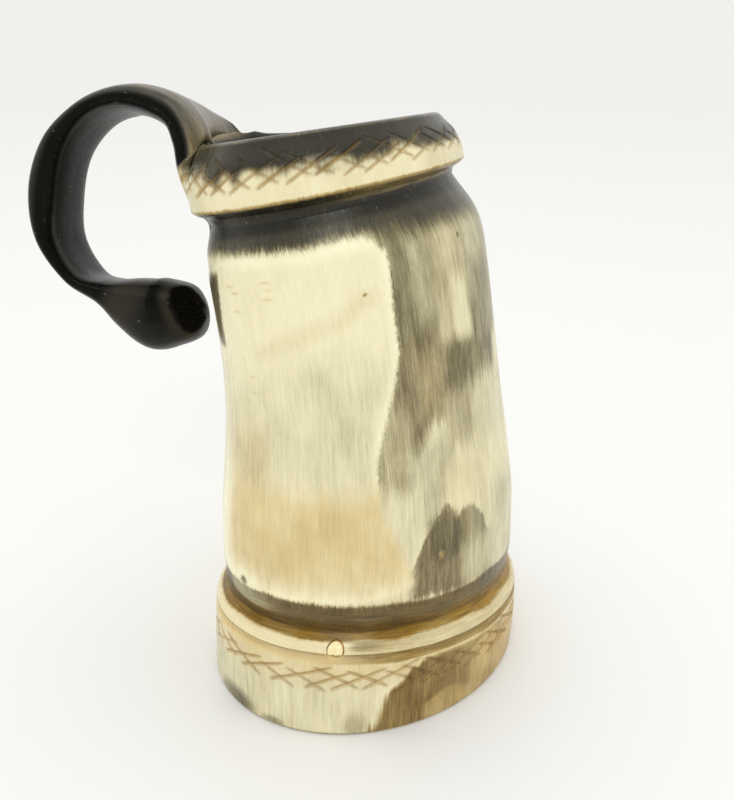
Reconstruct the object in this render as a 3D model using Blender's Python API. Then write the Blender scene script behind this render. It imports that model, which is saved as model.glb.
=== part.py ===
"""A horn tankard. One piece of cattle horn is the foot, the body, the rim collar and the
handle, which is the horn's solid tip bent outward and down. A wooden disc closes the foot;
three pegs driven through the wall hold it, and a wax bead seals it.

Metres, +Z up. The origin is on the table, under the middle of the whole tankard's box,
and the handle points along -X. The dimensions below are in millimetres and count from the
foot's middle. A "station" is a height along the horn's curved axis, and a "half-width" is
half the short way across an oval ring."""

import math

import bpy
import bmesh
from mathutils import Matrix, Vector

MM = 0.001
GAP = 0.3
FOOT_MIDDLE = Vector((24.75, -3.19, 0.0))

# The horn's axis: four Bezier control points, evenly spaced in height.
AXIS = (Vector((0, 0, 0)), Vector((1.4, 6.4, 50)), Vector((-0.8, 12, 100)), Vector((-14.5, 15.8, 150)))
LIP = 150.0
NECK = 132.6

# The oval rings: which way the short side faces, and the long side over the short side.
SHORT_SIDE = math.radians(-53.4)
RATIO_AT_FOOT = 1.207
RATIO_AT_LIP = 1.119
FOOT_LEVELLING = 14.0
LIP_TURN = (0.118, 0.033)
# The carver cut the neck and the collar deeper on the side away from the handle.
COLLAR_SHIFT = ((122.0, 0.0), (NECK, -1.2), (141.0, -1.1), (LIP, 0.0))

# Outer skin, one smooth curve per stretch: (station, half-width) knots and ring steps.
FOOT_BAND = ((0.0, 39.4), (9.0, 39.6), (18.2, 39.4))
LINE_GROOVE = ((18.2, 39.4), (19.2, 38.6), (20.1, 38.2), (20.4, 39.4))
BODY = (
    (20.4, 39.4),
    (22.2, 38.9),
    (24.2, 37.4),
    (26.2, 36.3),
    (29.5, 36.8),
    (33.7, 37.4),
    (46.9, 37.3),
    (63.8, 35.9),
    (80.6, 34.3),
    (97.5, 33.5),
    (117.0, 33.1),
    (124.0, 32.1),
    (NECK, 28.6),
)
COLLAR = (
    (NECK, 28.6),
    (134.6, 29.4),
    (135.6, 31.3),
    (136.8, 32.3),
    (140.2, 32.3),
    (144.4, 30.8),
    (148.2, 28.2),
)
RIM = ((148.2, 28.2), (149.6, 27.2), (150.0, 26.3))
OUTER_STRETCHES = ((FOOT_BAND, 4), (LINE_GROOVE, 4), (BODY, 26), (COLLAR, 10), (RIM, 2))

# The base disc, its seal and its pegs.
PEG_STATION = 21.6
PEG_RADIUS = 2.1
PEG_DEPTH_IN_DISC = 8.0
PEG_BLANK_LENGTH = 20.0
PEG_ANGLES = {"peg_front": -94.5, "peg_right": 25.5, "peg_left": 145.5}
DISC_THICKNESS = 13.0
DISC_BOTTOM = PEG_STATION - DISC_THICKNESS / 2
DISC_TOP = PEG_STATION + DISC_THICKNESS / 2
SEAL_LEG = 2.6
SEAL_FEATHER = 0.4
SEAL_HOLLOW = (0.9, 1.2)

# The hollow: the foot's mouth, the tapered seat that the disc is pushed up into, and the cup.
FOOT_HOLLOW = ((0.0, 36.0), (DISC_BOTTOM, 35.6))
DISC_SEAT = ((DISC_BOTTOM, 35.6), (DISC_TOP, 33.3))
CUP = (
    (DISC_TOP, 33.3),
    (47.0, 33.8),
    (80.0, 31.0),
    (115.0, 29.6),
    (NECK, 26.3),
    (142.0, 25.7),
    (149.4, 25.5),
)
BORE_STRETCHES = ((FOOT_HOLLOW, 2), (DISC_SEAT, 1), (CUP, 15))

# The handle strip, from its root in the collar to the bulb at the horn's tip:
# (x, z, thickness, width) knots. Its far edge is lower than its near edge.
HANDLE_Y = 15.8
HANDLE_SAG = math.tan(math.radians(15))
HANDLE_KNOTS = (
    (-44.6, 128.5, 8.0, 24.0),
    (-46.6, 137.5, 9.5, 24.0),
    (-47.1, 145.5, 10.4, 23.5),
    (-50.5, 152.2, 9.4, 22.0),
    (-58.2, 155.6, 7.9, 21.8),
    (-67.0, 155.5, 5.9, 21.8),
    (-75.8, 151.6, 5.5, 21.8),
    (-84.2, 143.3, 7.9, 21.2),
    (-89.2, 131.1, 9.8, 21.5),
    (-89.9, 118.3, 7.3, 23.5),
    (-84.2, 107.6, 5.5, 24.0),
    (-76.6, 103.5, 8.5, 23.0),
    (-70.5, 100.5, 16.5, 22.0),
    (-63.7, 97.2, 22.0, 21.6),
    (-57.8, 98.0, 20.1, 20.5),
    (-52.7, 98.3, 16.6, 17.5),
    (-50.4, 98.5, 11.0, 12.0),
    (-49.0, 98.6, 4.0, 4.6),
)
STEPS_PER_KNOT = 2
FLANK_SQUARENESS = 2.6

HORN_COLOUR = (0.62, 0.56, 0.44)
WOOD_COLOUR = (0.45, 0.30, 0.17)
WAX_COLOUR = (0.50, 0.36, 0.16)
PEG_COLOUR = (0.86, 0.78, 0.60)

WALL_SEGMENTS = 48
HANDLE_SEGMENTS = 20
PEG_SEGMENTS = 24


def clear_scene():
    for thing in list(bpy.data.objects):
        bpy.data.objects.remove(thing, do_unlink=True)


def new_collection(name):
    collection = bpy.data.collections.new(name)
    bpy.context.scene.collection.children.link(collection)
    return collection


def material(name, colour, roughness):
    """A Principled material for one sub-part; none of them is metal."""
    made = bpy.data.materials.new(name)
    made.use_nodes = True
    shader = made.node_tree.nodes["Principled BSDF"]
    shader.inputs["Base Color"].default_value = (*colour, 1.0)
    shader.inputs["Roughness"].default_value = roughness
    shader.inputs["Metallic"].default_value = 0.0
    return made


def placed(x, y, z):
    """A point in metres from the origin, given in millimetres from the foot's middle."""
    return (Vector((x, y, z)) + FOOT_MIDDLE) * MM


def smooth_step(value):
    value = min(max(value, 0.0), 1.0)
    return value * value * (3.0 - 2.0 * value)


def slopes_through(knots):
    """The slope at each (station, value) knot of a curve that never overshoots them."""
    steps = [(b[1] - a[1]) / (b[0] - a[0]) for a, b in zip(knots, knots[1:])]
    slopes = [steps[0]]
    for before, after in zip(steps, steps[1:]):
        turning = before * after <= 0.0
        slopes.append(0.0 if turning else 2.0 * before * after / (before + after))
    return slopes + [steps[-1]]


def along_curve(knots, station):
    """The value at a station on the smooth curve through (station, value) knots."""
    slopes = slopes_through(knots)
    index = 0
    while index < len(knots) - 2 and station > knots[index + 1][0]:
        index += 1
    (start, low), (end, high) = knots[index], knots[index + 1]
    span = end - start
    t = (station - start) / span
    rise = high - low
    bend = slopes[index] * span
    late_bend = slopes[index + 1] * span
    return low + t * (bend + t * (3 * rise - 2 * bend - late_bend + t * (bend + late_bend - 2 * rise)))


def even_stations(knots, steps):
    start, end = knots[0][0], knots[-1][0]
    return [start + (end - start) * step / steps for step in range(steps + 1)]


def axis_point(station):
    t = station / LIP
    a, b, c, d = AXIS
    return a * (1 - t) ** 3 + b * 3 * t * (1 - t) ** 2 + c * 3 * t * t * (1 - t) + d * t**3


def ring_centre(station):
    shifted = COLLAR_SHIFT[0][0] < station < LIP
    return axis_point(station) + Vector((along_curve(COLLAR_SHIFT, station) if shifted else 0.0, 0, 0))


def ring_lean(station):
    """How far a ring falls per millimetre in x and in y. A ring is square to the axis,
    except that the foot's mouth is level with the table and the lip is nearer level."""
    ahead, behind = axis_point(station + 0.5), axis_point(station - 0.5)
    level = smooth_step(station / FOOT_LEVELLING)
    turn = max(0.0, station - NECK) / (LIP - NECK)
    in_x = (ahead.x - behind.x) * level + LIP_TURN[0] * turn
    in_y = (ahead.y - behind.y) * level + LIP_TURN[1] * turn
    return in_x, in_y


def ring_point(station, sideways, along):
    """A point of the ring plane at a station, from its offsets across and along the oval."""
    centre, lean = ring_centre(station), ring_lean(station)
    x = sideways * math.cos(SHORT_SIDE) - along * math.sin(SHORT_SIDE)
    y = sideways * math.sin(SHORT_SIDE) + along * math.cos(SHORT_SIDE)
    return placed(centre.x + x, centre.y + y, station - lean[0] * x - lean[1] * y)


def oval_ratio(station):
    return RATIO_AT_FOOT + (RATIO_AT_LIP - RATIO_AT_FOOT) * station / LIP


def ring(station, half_width):
    turns = [2 * math.pi * step / WALL_SEGMENTS for step in range(WALL_SEGMENTS)]
    long_half = half_width * oval_ratio(station)
    return [ring_point(station, half_width * math.cos(turn), long_half * math.sin(turn)) for turn in turns]


def rings_up(stretches):
    """Rings up a skin. Stretches meet at a shared knot, where the skin has an edge."""
    rings = []
    for knots, steps in stretches:
        stations = even_stations(knots, steps)
        rings += [ring(station, along_curve(knots, station)) for station in stations[bool(rings):]]
    return rings


def loft(name, rings, collection, closed_round=False):
    """A skin through rings of equal count: joined end to start, or capped at both ends."""
    mesh = bmesh.new()
    rows = [[mesh.verts.new(point) for point in row] for row in rings]
    pairs = list(zip(rows, rows[1:]))
    if closed_round:
        pairs.append((rows[-1], rows[0]))
    else:
        mesh.faces.new(reversed(rows[0]))
        mesh.faces.new(rows[-1])
    for low, high in pairs:
        for index in range(len(low)):
            following = (index + 1) % len(low)
            mesh.faces.new((low[index], low[following], high[following], high[index]))
    bmesh.ops.recalc_face_normals(mesh, faces=mesh.faces)
    data = bpy.data.meshes.new(name)
    mesh.to_mesh(data)
    mesh.free()
    made = bpy.data.objects.new(name, data)
    collection.objects.link(made)
    return made


def round_shading(target, sharper_than=35.0):
    target.data.shade_smooth()
    target.data.set_sharp_from_angle(angle=math.radians(sharper_than))


def as_cutter(target):
    target.hide_render = True
    target.display_type = "WIRE"
    return target


def boolean(target, tool, operation):
    modifier = target.modifiers.new(f"{operation.lower()}_{tool.name}", "BOOLEAN")
    modifier.operation = operation
    modifier.object = tool
    modifier.solver = "EXACT"


def catmull_rom(before, start, end, after, t):
    """The point at t between start and end on a curve through all four."""
    return tuple(
        0.5 * (2 * q + (r - p) * t + (2 * p - 5 * q + 4 * r - s) * t * t + (3 * q - p - 3 * r + s) * t**3)
        for p, q, r, s in zip(before, start, end, after)
    )


def handle_stations():
    """(x, z, thickness, width) along the handle, evenly between its knots."""
    knots = (HANDLE_KNOTS[0], *HANDLE_KNOTS, HANDLE_KNOTS[-1])
    found = []
    for four in zip(knots, knots[1:], knots[2:], knots[3:]):
        found += [catmull_rom(*four, step / STEPS_PER_KNOT) for step in range(STEPS_PER_KNOT)]
    return found + [HANDLE_KNOTS[-1]]


def handle_section(x, z, thickness, width, outward):
    """One rounded section of the strip. It spans the thickness along outward and the width in y."""
    points = []
    for step in range(HANDLE_SEGMENTS):
        turn = 2 * math.pi * step / HANDLE_SEGMENTS
        out = math.copysign(abs(math.sin(turn)) ** (2 / FLANK_SQUARENESS), math.sin(turn)) * thickness / 2
        side = math.copysign(abs(math.cos(turn)) ** (2 / FLANK_SQUARENESS), math.cos(turn)) * width / 2
        lowered = z + outward.y * out - HANDLE_SAG * side
        points.append(placed(x + outward.x * out, HANDLE_Y + side, lowered))
    return points


def make_handle(collection):
    """The handle strip as its own solid, which the body's union takes in."""
    stations = handle_stations()
    sections = []
    for index, (x, z, thickness, width) in enumerate(stations):
        behind, ahead = stations[max(index - 1, 0)], stations[min(index + 1, len(stations) - 1)]
        forward = Vector((ahead[0] - behind[0], ahead[1] - behind[1])).normalized()
        outward = Vector((forward.y, -forward.x))
        sections.append(handle_section(x, z, thickness, width, outward))
    return as_cutter(loft("handle_strip", sections, collection))


def peg_direction(angle):
    """The outward way of a peg, lying in the ring plane at the pegs' station."""
    lean = ring_lean(PEG_STATION)
    x, y = math.cos(math.radians(angle)), math.sin(math.radians(angle))
    return Vector((x, y, -lean[0] * x - lean[1] * y)).normalized()


def seat_reach(angle):
    """How far the disc's seat is from the axis along a peg."""
    half_width = along_curve(DISC_SEAT, PEG_STATION)
    turn = math.radians(angle) - SHORT_SIDE
    long_half = half_width * oval_ratio(PEG_STATION)
    return 1.0 / math.hypot(math.cos(turn) / half_width, math.sin(turn) / long_half)


def rod(name, angle, radius, inner, outer, collection):
    """A cylinder along a peg's line, between two distances from the horn's axis."""
    mesh = bmesh.new()
    bmesh.ops.create_cone(
        mesh,
        cap_ends=True,
        segments=PEG_SEGMENTS,
        radius1=radius * MM,
        radius2=radius * MM,
        depth=(outer - inner) * MM,
    )
    direction = peg_direction(angle)
    middle = axis_point(PEG_STATION) + direction * (inner + outer) / 2
    turned = direction.to_track_quat("Z", "Y").to_matrix().to_4x4()
    bmesh.ops.transform(mesh, matrix=Matrix.Translation(placed(*middle)) @ turned, verts=mesh.verts)
    data = bpy.data.meshes.new(name)
    mesh.to_mesh(data)
    mesh.free()
    made = bpy.data.objects.new(name, data)
    collection.objects.link(made)
    return made


def make_peg(name, angle, envelope, collection):
    """A peg whose outer end is flush with the horn's skin."""
    inner = seat_reach(angle) - PEG_DEPTH_IN_DISC
    made = rod(name, angle, PEG_RADIUS, inner, inner + PEG_BLANK_LENGTH, collection)
    boolean(made, envelope, "INTERSECT")
    made.data.materials.append(material(name, PEG_COLOUR, 0.4))
    round_shading(made)
    return made


def peg_hole(name, angle, collection):
    inner = seat_reach(angle) - PEG_DEPTH_IN_DISC - GAP
    outer = inner + PEG_BLANK_LENGTH
    return as_cutter(rod(f"{name}_hole", angle, PEG_RADIUS + GAP, inner, outer, collection))


def make_horn(handle, holes, collection):
    skin = rings_up(OUTER_STRETCHES) + rings_up(BORE_STRETCHES)[::-1]
    made = loft("horn_body", skin, collection, closed_round=True)
    boolean(made, handle, "UNION")
    for hole in holes:
        boolean(made, hole, "DIFFERENCE")
    made.data.materials.append(material("horn", HORN_COLOUR, 0.3))
    round_shading(made)
    return made


def make_disc(holes, collection):
    """The base disc, square to the axis, with the pegs' blind holes in its edge."""
    rings = [ring(station, half_width - GAP) for station, half_width in DISC_SEAT]
    made = loft("base_disc", rings, collection)
    for hole in holes:
        boolean(made, hole, "DIFFERENCE")
    made.data.materials.append(material("disc_wood", WOOD_COLOUR, 0.6))
    round_shading(made)
    return made


def make_seal(collection):
    """The bead in the corner between the disc's upper face and the bore. Its face is hollow."""
    low = DISC_TOP + GAP
    high = low + SEAL_LEG
    foot = along_curve(CUP, low) - GAP
    top = along_curve(CUP, high) - GAP
    outline = (
        (low, foot),
        (high, top),
        (high, top - SEAL_FEATHER),
        (low + SEAL_HOLLOW[0], foot - SEAL_HOLLOW[1]),
        (low, foot - SEAL_LEG),
    )
    made = loft("base_seal", [ring(*corner) for corner in outline], collection, closed_round=True)
    made.data.materials.append(material("wax", WAX_COLOUR, 0.5))
    round_shading(made)
    return made


def build():
    clear_scene()
    parts = new_collection("horn_tankard")
    cutters = new_collection("horn_tankard_cutters")
    handle = make_handle(cutters)
    envelope = as_cutter(loft("outer_envelope", rings_up(OUTER_STRETCHES[:3]), cutters))
    holes = [peg_hole(name, angle, cutters) for name, angle in PEG_ANGLES.items()]
    make_horn(handle, holes, parts)
    make_disc(holes, parts)
    make_seal(parts)
    for name, angle in PEG_ANGLES.items():
        make_peg(name, angle, envelope, parts)


build()
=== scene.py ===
"""The looks of a horn tankard: a fine carved skin, its colours and finish, the peg heads,
the base disc and its seal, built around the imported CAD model.

Points are in millimetres from the foot's middle, as in the CAD source, and in_metres()
turns them into metres from the origin. A "station" is a height along the horn's curved
axis, a "half-width" is half the short way across an oval ring, and an "angle" is the
direction from the axis in degrees, with -90 at the front and 180 at the handle."""

import math

import bpy
import numpy as np
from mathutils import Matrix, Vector

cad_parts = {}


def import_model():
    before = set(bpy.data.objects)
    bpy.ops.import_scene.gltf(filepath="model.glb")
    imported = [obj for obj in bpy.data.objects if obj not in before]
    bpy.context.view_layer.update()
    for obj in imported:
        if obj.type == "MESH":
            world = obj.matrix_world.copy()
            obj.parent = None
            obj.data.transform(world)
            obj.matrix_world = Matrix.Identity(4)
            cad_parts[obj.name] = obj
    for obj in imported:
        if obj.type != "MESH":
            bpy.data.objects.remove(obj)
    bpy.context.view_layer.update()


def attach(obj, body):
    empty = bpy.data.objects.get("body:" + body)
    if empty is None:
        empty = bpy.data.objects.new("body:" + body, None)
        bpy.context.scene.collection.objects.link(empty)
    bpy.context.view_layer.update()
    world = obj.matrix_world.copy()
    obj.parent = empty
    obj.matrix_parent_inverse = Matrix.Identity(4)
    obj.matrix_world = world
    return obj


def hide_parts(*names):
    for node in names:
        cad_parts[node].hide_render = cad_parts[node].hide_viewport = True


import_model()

MM = 0.001
FOOT_MIDDLE = np.array((24.75, -3.19, 0.0))

# The horn's axis and its oval rings, as in the CAD source.
AXIS = np.array(((0, 0, 0), (1.4, 6.4, 50), (-0.8, 12, 100), (-14.5, 15.8, 150)), float)
LIP = 150.0
NECK = 132.6
SHORT_SIDE = math.radians(-53.4)
RATIO_AT_FOOT = 1.207
RATIO_AT_LIP = 1.119
FOOT_LEVELLING = 14.0
LIP_TURN = (0.118, 0.033)
COLLAR_SHIFT = ((122.0, 0.0), (NECK, -1.2), (141.0, -1.1), (LIP, 0.0))

# Outer skin: (station, half-width) knots of each smooth stretch, and its ring spacing.
FOOT_EDGE = ((0.0, 38.9), (0.15, 39.2), (0.6, 39.4))
FOOT_BAND = ((0.6, 39.4), (9.0, 39.6), (18.2, 39.4))
LINE_GROOVE = ((18.2, 39.4), (19.2, 38.6), (20.1, 38.2), (20.4, 39.3))
SHOULDER = ((20.4, 39.3), (22.2, 38.9), (24.2, 37.4), (26.2, 36.3), (29.5, 36.8), (33.7, 37.4))
BODY = (
    (33.7, 37.4),
    (46.9, 37.3),
    (63.8, 35.9),
    (80.6, 34.3),
    (97.5, 33.5),
    (117.0, 33.1),
    (124.0, 32.1),
    (NECK, 28.6),
)
COLLAR = (
    (NECK, 28.6),
    (134.6, 29.4),
    (135.6, 31.3),
    (136.8, 32.3),
    (140.2, 32.3),
    (144.4, 31.2),
    (148.2, 28.8),
)
LIP_EDGE = ((148.2, 28.8), (149.3, 28.1), (149.75, 27.6), (LIP, 26.6))
OUTER_STRETCHES = (
    (FOOT_EDGE, 0.1),
    (FOOT_BAND, 0.25),
    (LINE_GROOVE, 0.2),
    (SHOULDER, 0.35),
    (BODY, 0.6),
    (COLLAR, 0.25),
    (LIP_EDGE, 0.15),
)
AROUND = 960
# The lip sweeps up into the handle's far edge: (angle, rise) knots, and where the rise starts.
LIP_RISE = ((118, 0.0), (134, 0.8), (146, 2.2), (156, 3.4), (168, 3.4), (184, 2.2), (198, 0.8), (206, 0.0))
LIP_SWEEP_START = 141.0
# Above this line the root belongs to the handle, and below it to the collar's facet.
CREASE_X = -41.9
CREASE_HEIGHT = 147.6
CREASE_SLOPE = 0.81
CREASE_LEFT = -54.5

# The hollow and what closes it.
PEG_STATION = 21.6
PEG_RADIUS = 2.1
PEG_GAP = 0.28
PEG_DEPTH_IN_DISC = 8.0
PEG_HOLE_LENGTH = 20.0
PEG_HOLE_SIDES = 48
PEG_ANGLES = {"peg_front": -94.5, "peg_right": 25.5, "peg_left": 145.5}
DISC_THICKNESS = 13.0
DISC_BOTTOM = PEG_STATION - DISC_THICKNESS / 2
DISC_TOP = PEG_STATION + DISC_THICKNESS / 2
GAP = 0.3
FOOT_HOLLOW = ((0.0, 36.0), (DISC_BOTTOM, 35.6))
DISC_SEAT = ((DISC_BOTTOM, 35.6), (DISC_TOP, 33.3))
BORE = ((47.0, 33.8), (80.0, 31.0), (115.0, 29.6), (NECK, 26.3), (142.0, 25.7))
CUP = ((DISC_TOP, 33.3), *BORE, (148.9, 25.6))
LIP_INSIDE = ((148.9, 25.6), (149.7, 25.85))
BORE_STRETCHES = ((FOOT_HOLLOW, 1.5), (DISC_SEAT, 2.0), (CUP, 1.5), (LIP_INSIDE, 0.4))

# The handle strip, root to bulb: (x, z, thickness, width) knots.
HANDLE_Y = 15.8
HANDLE_SAG = math.tan(math.radians(15))
HANDLE_KNOTS = np.array(
    (
        (-44.6, 128.5, 8.0, 24.0),
        (-46.6, 137.5, 9.5, 24.0),
        (-47.1, 145.5, 10.4, 23.5),
        (-50.5, 152.2, 9.4, 22.0),
        (-58.2, 155.6, 7.9, 21.8),
        (-67.0, 155.5, 5.9, 21.8),
        (-75.8, 151.6, 5.5, 21.8),
        (-84.2, 143.3, 7.9, 21.2),
        (-89.2, 131.1, 9.8, 21.5),
        (-89.9, 118.3, 7.3, 23.5),
        (-84.2, 107.6, 5.5, 24.0),
        (-76.6, 103.5, 8.5, 23.0),
        (-70.5, 100.5, 16.5, 22.0),
        (-63.7, 97.2, 22.0, 21.6),
        (-57.8, 98.0, 20.1, 20.5),
        (-52.7, 98.3, 16.6, 17.5),
        (-50.4, 98.5, 11.0, 12.0),
        (-49.0, 98.6, 4.0, 4.6),
    )
)
STEPS_PER_KNOT = 18
DIRECTION_ROWS = 15
HANDLE_AROUND = 168
FLANK_SQUARENESS = 2.6
BULB_ROWS = 5 * STEPS_PER_KNOT
# The bulb's flat is filed in over these rows of the path.
FLAT_FADE = (0.36 * STEPS_PER_KNOT, 1.2 * STEPS_PER_KNOT)
# At the root the strip's far side widens by this share of itself, by knot, to flow into the
# lip, and both its faces bend to follow the collar.
ROOT_FLARE = ((1.2, 0.3), (2.1, 0.42), (2.6, 0.3), (3.1, 0.16), (3.7, 0.06), (4.6, 0.0))
ROOT_BEND = ((0.0, 1.0), (2.2, 1.0), (3.4, 0.6), (5.0, 0.0))
BEND_OF_OUTER_FACE = 0.017
BEND_OF_INNER_FACE = 0.05
# A flat filed on the bulb: a point on it and the way that it faces, how soft its edge is, and
# how far beyond it the bulb goes at most.
END_FLAT = ((-53.0, 7.9, 98.6), (0.84, -0.48, 0.25))
FLAT_SOFTNESS = 0.6
FLAT_DEEPEST = 9.0


# ---- shape


def smooth(value):
    value = np.clip(value, 0.0, 1.0)
    return value * value * (3.0 - 2.0 * value)


def past(value, start, blur):
    """0 up to the start, and 1 from a blur beyond it."""
    return smooth((value - start) / blur)


def before(value, end, blur):
    """1 down to a blur before the end, and 0 from the end on."""
    return smooth((end - value) / blur)


def within(value, start, start_blur, end, end_blur):
    """1 between the start and the end, fading to 0 at both."""
    return past(value, start, start_blur) * before(value, end, end_blur)


def mix(first, second, share):
    return first + (second - first) * share


def curve(knots, at):
    """The value at each place on the smooth curve through (place, value) knots, which never
    overshoots them. Beyond the end knots it keeps their values."""
    places, values = np.array(knots, float).T
    steps = np.diff(values) / np.diff(places)
    before, after = steps[:-1], steps[1:]
    turning = before * after <= 0.0
    between = 2.0 * before * after / np.where(turning, 1.0, before + after)
    slopes = np.concatenate((steps[:1], np.where(turning, 0.0, between), steps[-1:]))
    at = np.clip(at, places[0], places[-1])
    index = np.clip(np.searchsorted(places, at) - 1, 0, len(places) - 2)
    span = places[index + 1] - places[index]
    t = (at - places[index]) / span
    rise = values[index + 1] - values[index]
    early, late = slopes[index] * span, slopes[index + 1] * span
    return values[index] + t * (early + t * (3 * rise - 2 * early - late + t * (early + late - 2 * rise)))


def half_width(stretches, station):
    """The skin's half-width at each station, from the stretch that the station lies in."""
    found = curve(stretches[0][0], station)
    for knots, _ in stretches[1:]:
        found = np.where(station > knots[0][0], curve(knots, station), found)
    return found


def bore_width(station):
    return half_width(BORE_STRETCHES, np.array(station))


def full_turn(count):
    return np.linspace(0.0, 2 * math.pi, count, endpoint=False)


def axis_point(station):
    t = np.asarray(station, float)[..., None] / LIP
    a, b, c, d = AXIS
    return a * (1 - t) ** 3 + b * 3 * t * (1 - t) ** 2 + c * 3 * t * t * (1 - t) + d * t**3


def ring_centre(station):
    centre = axis_point(station)
    centre[..., 0] += curve(COLLAR_SHIFT, station)
    return centre


def ring_lean(station):
    """How far a ring falls per millimetre in x and in y."""
    slope = axis_point(station + 0.5) - axis_point(station - 0.5)
    level = smooth(station / FOOT_LEVELLING)
    turn = np.maximum(0.0, station - NECK) / (LIP - NECK)
    return slope[..., 0] * level + LIP_TURN[0] * turn, slope[..., 1] * level + LIP_TURN[1] * turn


def oval_ratio(station):
    return mix(RATIO_AT_FOOT, RATIO_AT_LIP, station / LIP)


def ring_points(station, width, turn):
    """Points on oval rings: turn goes round the oval, from its short side."""
    centre = ring_centre(station)
    lean_x, lean_y = ring_lean(station)
    across = width * np.cos(turn)
    along = width * oval_ratio(station) * np.sin(turn)
    x = across * math.cos(SHORT_SIDE) - along * math.sin(SHORT_SIDE)
    y = across * math.sin(SHORT_SIDE) + along * math.cos(SHORT_SIDE)
    return np.stack((centre[..., 0] + x, centre[..., 1] + y, station - lean_x * x - lean_y * y), -1)


def turn_at(angle, station):
    """The turn round the oval that lies in a direction from the axis, in degrees."""
    away = np.radians(angle) - SHORT_SIDE
    return np.arctan2(np.sin(away) / oval_ratio(station), np.cos(away))


def horn_coordinates(points):
    """Each point's station, angle, half-width and distance beyond the horn's outer skin."""
    station = points[:, 2].copy()
    for _ in range(8):
        centre = ring_centre(station)
        lean_x, lean_y = ring_lean(station)
        x, y = points[:, 0] - centre[:, 0], points[:, 1] - centre[:, 1]
        station = np.clip(points[:, 2] + lean_x * x + lean_y * y, -5.0, LIP + 20.0)
    across = x * math.cos(SHORT_SIDE) + y * math.sin(SHORT_SIDE)
    along = y * math.cos(SHORT_SIDE) - x * math.sin(SHORT_SIDE)
    width = np.hypot(across, along / oval_ratio(station))
    skin = half_width(OUTER_STRETCHES, station)
    reach = np.hypot(x, y)
    return station, np.degrees(np.arctan2(y, x)), width, reach * (1.0 - skin / np.maximum(width, 1e-3))


def handle_path():
    """(x, z, thickness, width) rows along the handle, on a smooth curve through its knots."""
    knots = np.vstack((HANDLE_KNOTS[:1], HANDLE_KNOTS, HANDLE_KNOTS[-1:]))
    t = (np.arange(STEPS_PER_KNOT) / STEPS_PER_KNOT)[:, None]
    rows = []
    for p, q, r, s in zip(knots, knots[1:], knots[2:], knots[3:]):
        bend, twist = 2 * p - 5 * q + 4 * r - s, 3 * q - p - 3 * r + s
        rows.append(0.5 * (2 * q + (r - p) * t + bend * t * t + twist * t**3))
    return np.vstack((*rows, HANDLE_KNOTS[-1:]))


def handle_outward(path):
    """The unit (x, z) direction out of the loop at each row of the path. It is measured over
    a long stretch, so that the rings never cross in the tight bend before the bulb."""
    row = np.arange(len(path))
    ahead = np.minimum(row + DIRECTION_ROWS, len(path) - 1)
    behind = np.maximum(row - DIRECTION_ROWS, 0)
    forward = path[ahead, :2] - path[behind, :2]
    forward /= np.linalg.norm(forward, axis=1, keepdims=True)
    return np.stack((forward[:, 1], -forward[:, 0]), 1)


# ---- natural unevenness

# The stations that a noise lattice covers.
LATTICE_LOW = -20.0
LATTICE_HIGH = 170.0


def lattice(angle, station, cell_angle, cell_height, seed):
    """Smooth noise from 0 to 1 that closes round the horn, in cells of a width in degrees and
    a height in millimetres."""
    columns = max(3, round(360.0 / cell_angle))
    rows = int((LATTICE_HIGH - LATTICE_LOW) / cell_height) + 3
    table = np.random.default_rng(seed).random((rows, columns))
    across = (angle % 360.0) / 360.0 * columns
    up = (station - LATTICE_LOW) / cell_height
    i, j = np.floor(across).astype(int), np.clip(np.floor(up).astype(int), 0, rows - 2)
    u, v = smooth(across - i), smooth(up - j)
    left, right = i % columns, (i + 1) % columns
    low = mix(table[j, left], table[j, right], u)
    high = mix(table[j + 1, left], table[j + 1, right], u)
    return mix(low, high, v)


def fibres(angle, station, seed):
    """Fine upright streaks, from -1 to 1, in three sizes."""
    coarse = lattice(angle, station, 4.0, 16.0, seed)
    middle = lattice(angle, station, 1.4, 7.0, seed + 1)
    fine = lattice(angle, station, 0.75, 3.2, seed + 2)
    return 2.0 * (0.25 * coarse + 0.35 * middle + 0.4 * fine) - 1.0


def scraping(angle, station):
    """How deep the carver's scraper went, in millimetres: broad upright facets."""
    broad = lattice(angle, station, 17.0, 38.0, 11) - 0.5
    narrow = lattice(angle, station, 5.5, 22.0, 12) - 0.5
    return 0.34 * broad + 0.09 * narrow


# ---- cut lattice

# Each hatched band: strokes in a family, lowest and highest station, how many degrees round
# the rising and the falling strokes run, and the seed. Its reach is its distance from the axis.
COLLAR_STROKES = dict(count=32, low=139.6, high=146.4, rise=25.0, fall=21.0, seed=5)
FOOT_STROKES = dict(count=32, low=9.8, high=16.2, rise=23.0, fall=19.0, seed=9)
COLLAR_REACH = 33.5
FOOT_REACH = 43.0
# A stroke tapers over these lengths at its start and its end, down to a share of its width.
STROKE_TAPERS = (2.6, 3.4)
STROKE_TIP = 0.35
STROKE_DEPTH = 0.62
STROKE_HALF_WIDTH = 0.46
# The stain round each stroke: its reach, how far it is lifted onto the stroke's upper facet as painted
# shade, its tapers and its strength.
STAIN_AND_SHADE_REACH = 0.42
SHADE_RISE = 0.24
STAIN_AND_SHADE_TAPERS = (1.5, 2.0)
STAIN_AND_SHADE_STRENGTH = 0.55
# A stroke is looked for only this many degrees round it, and this far from the middle of its
# band, which is a little above the lowest station.
LOOKED_ROUND = 20.0
LOOKED_UP = 8.0
BAND_MIDDLE = 3.0


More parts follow.
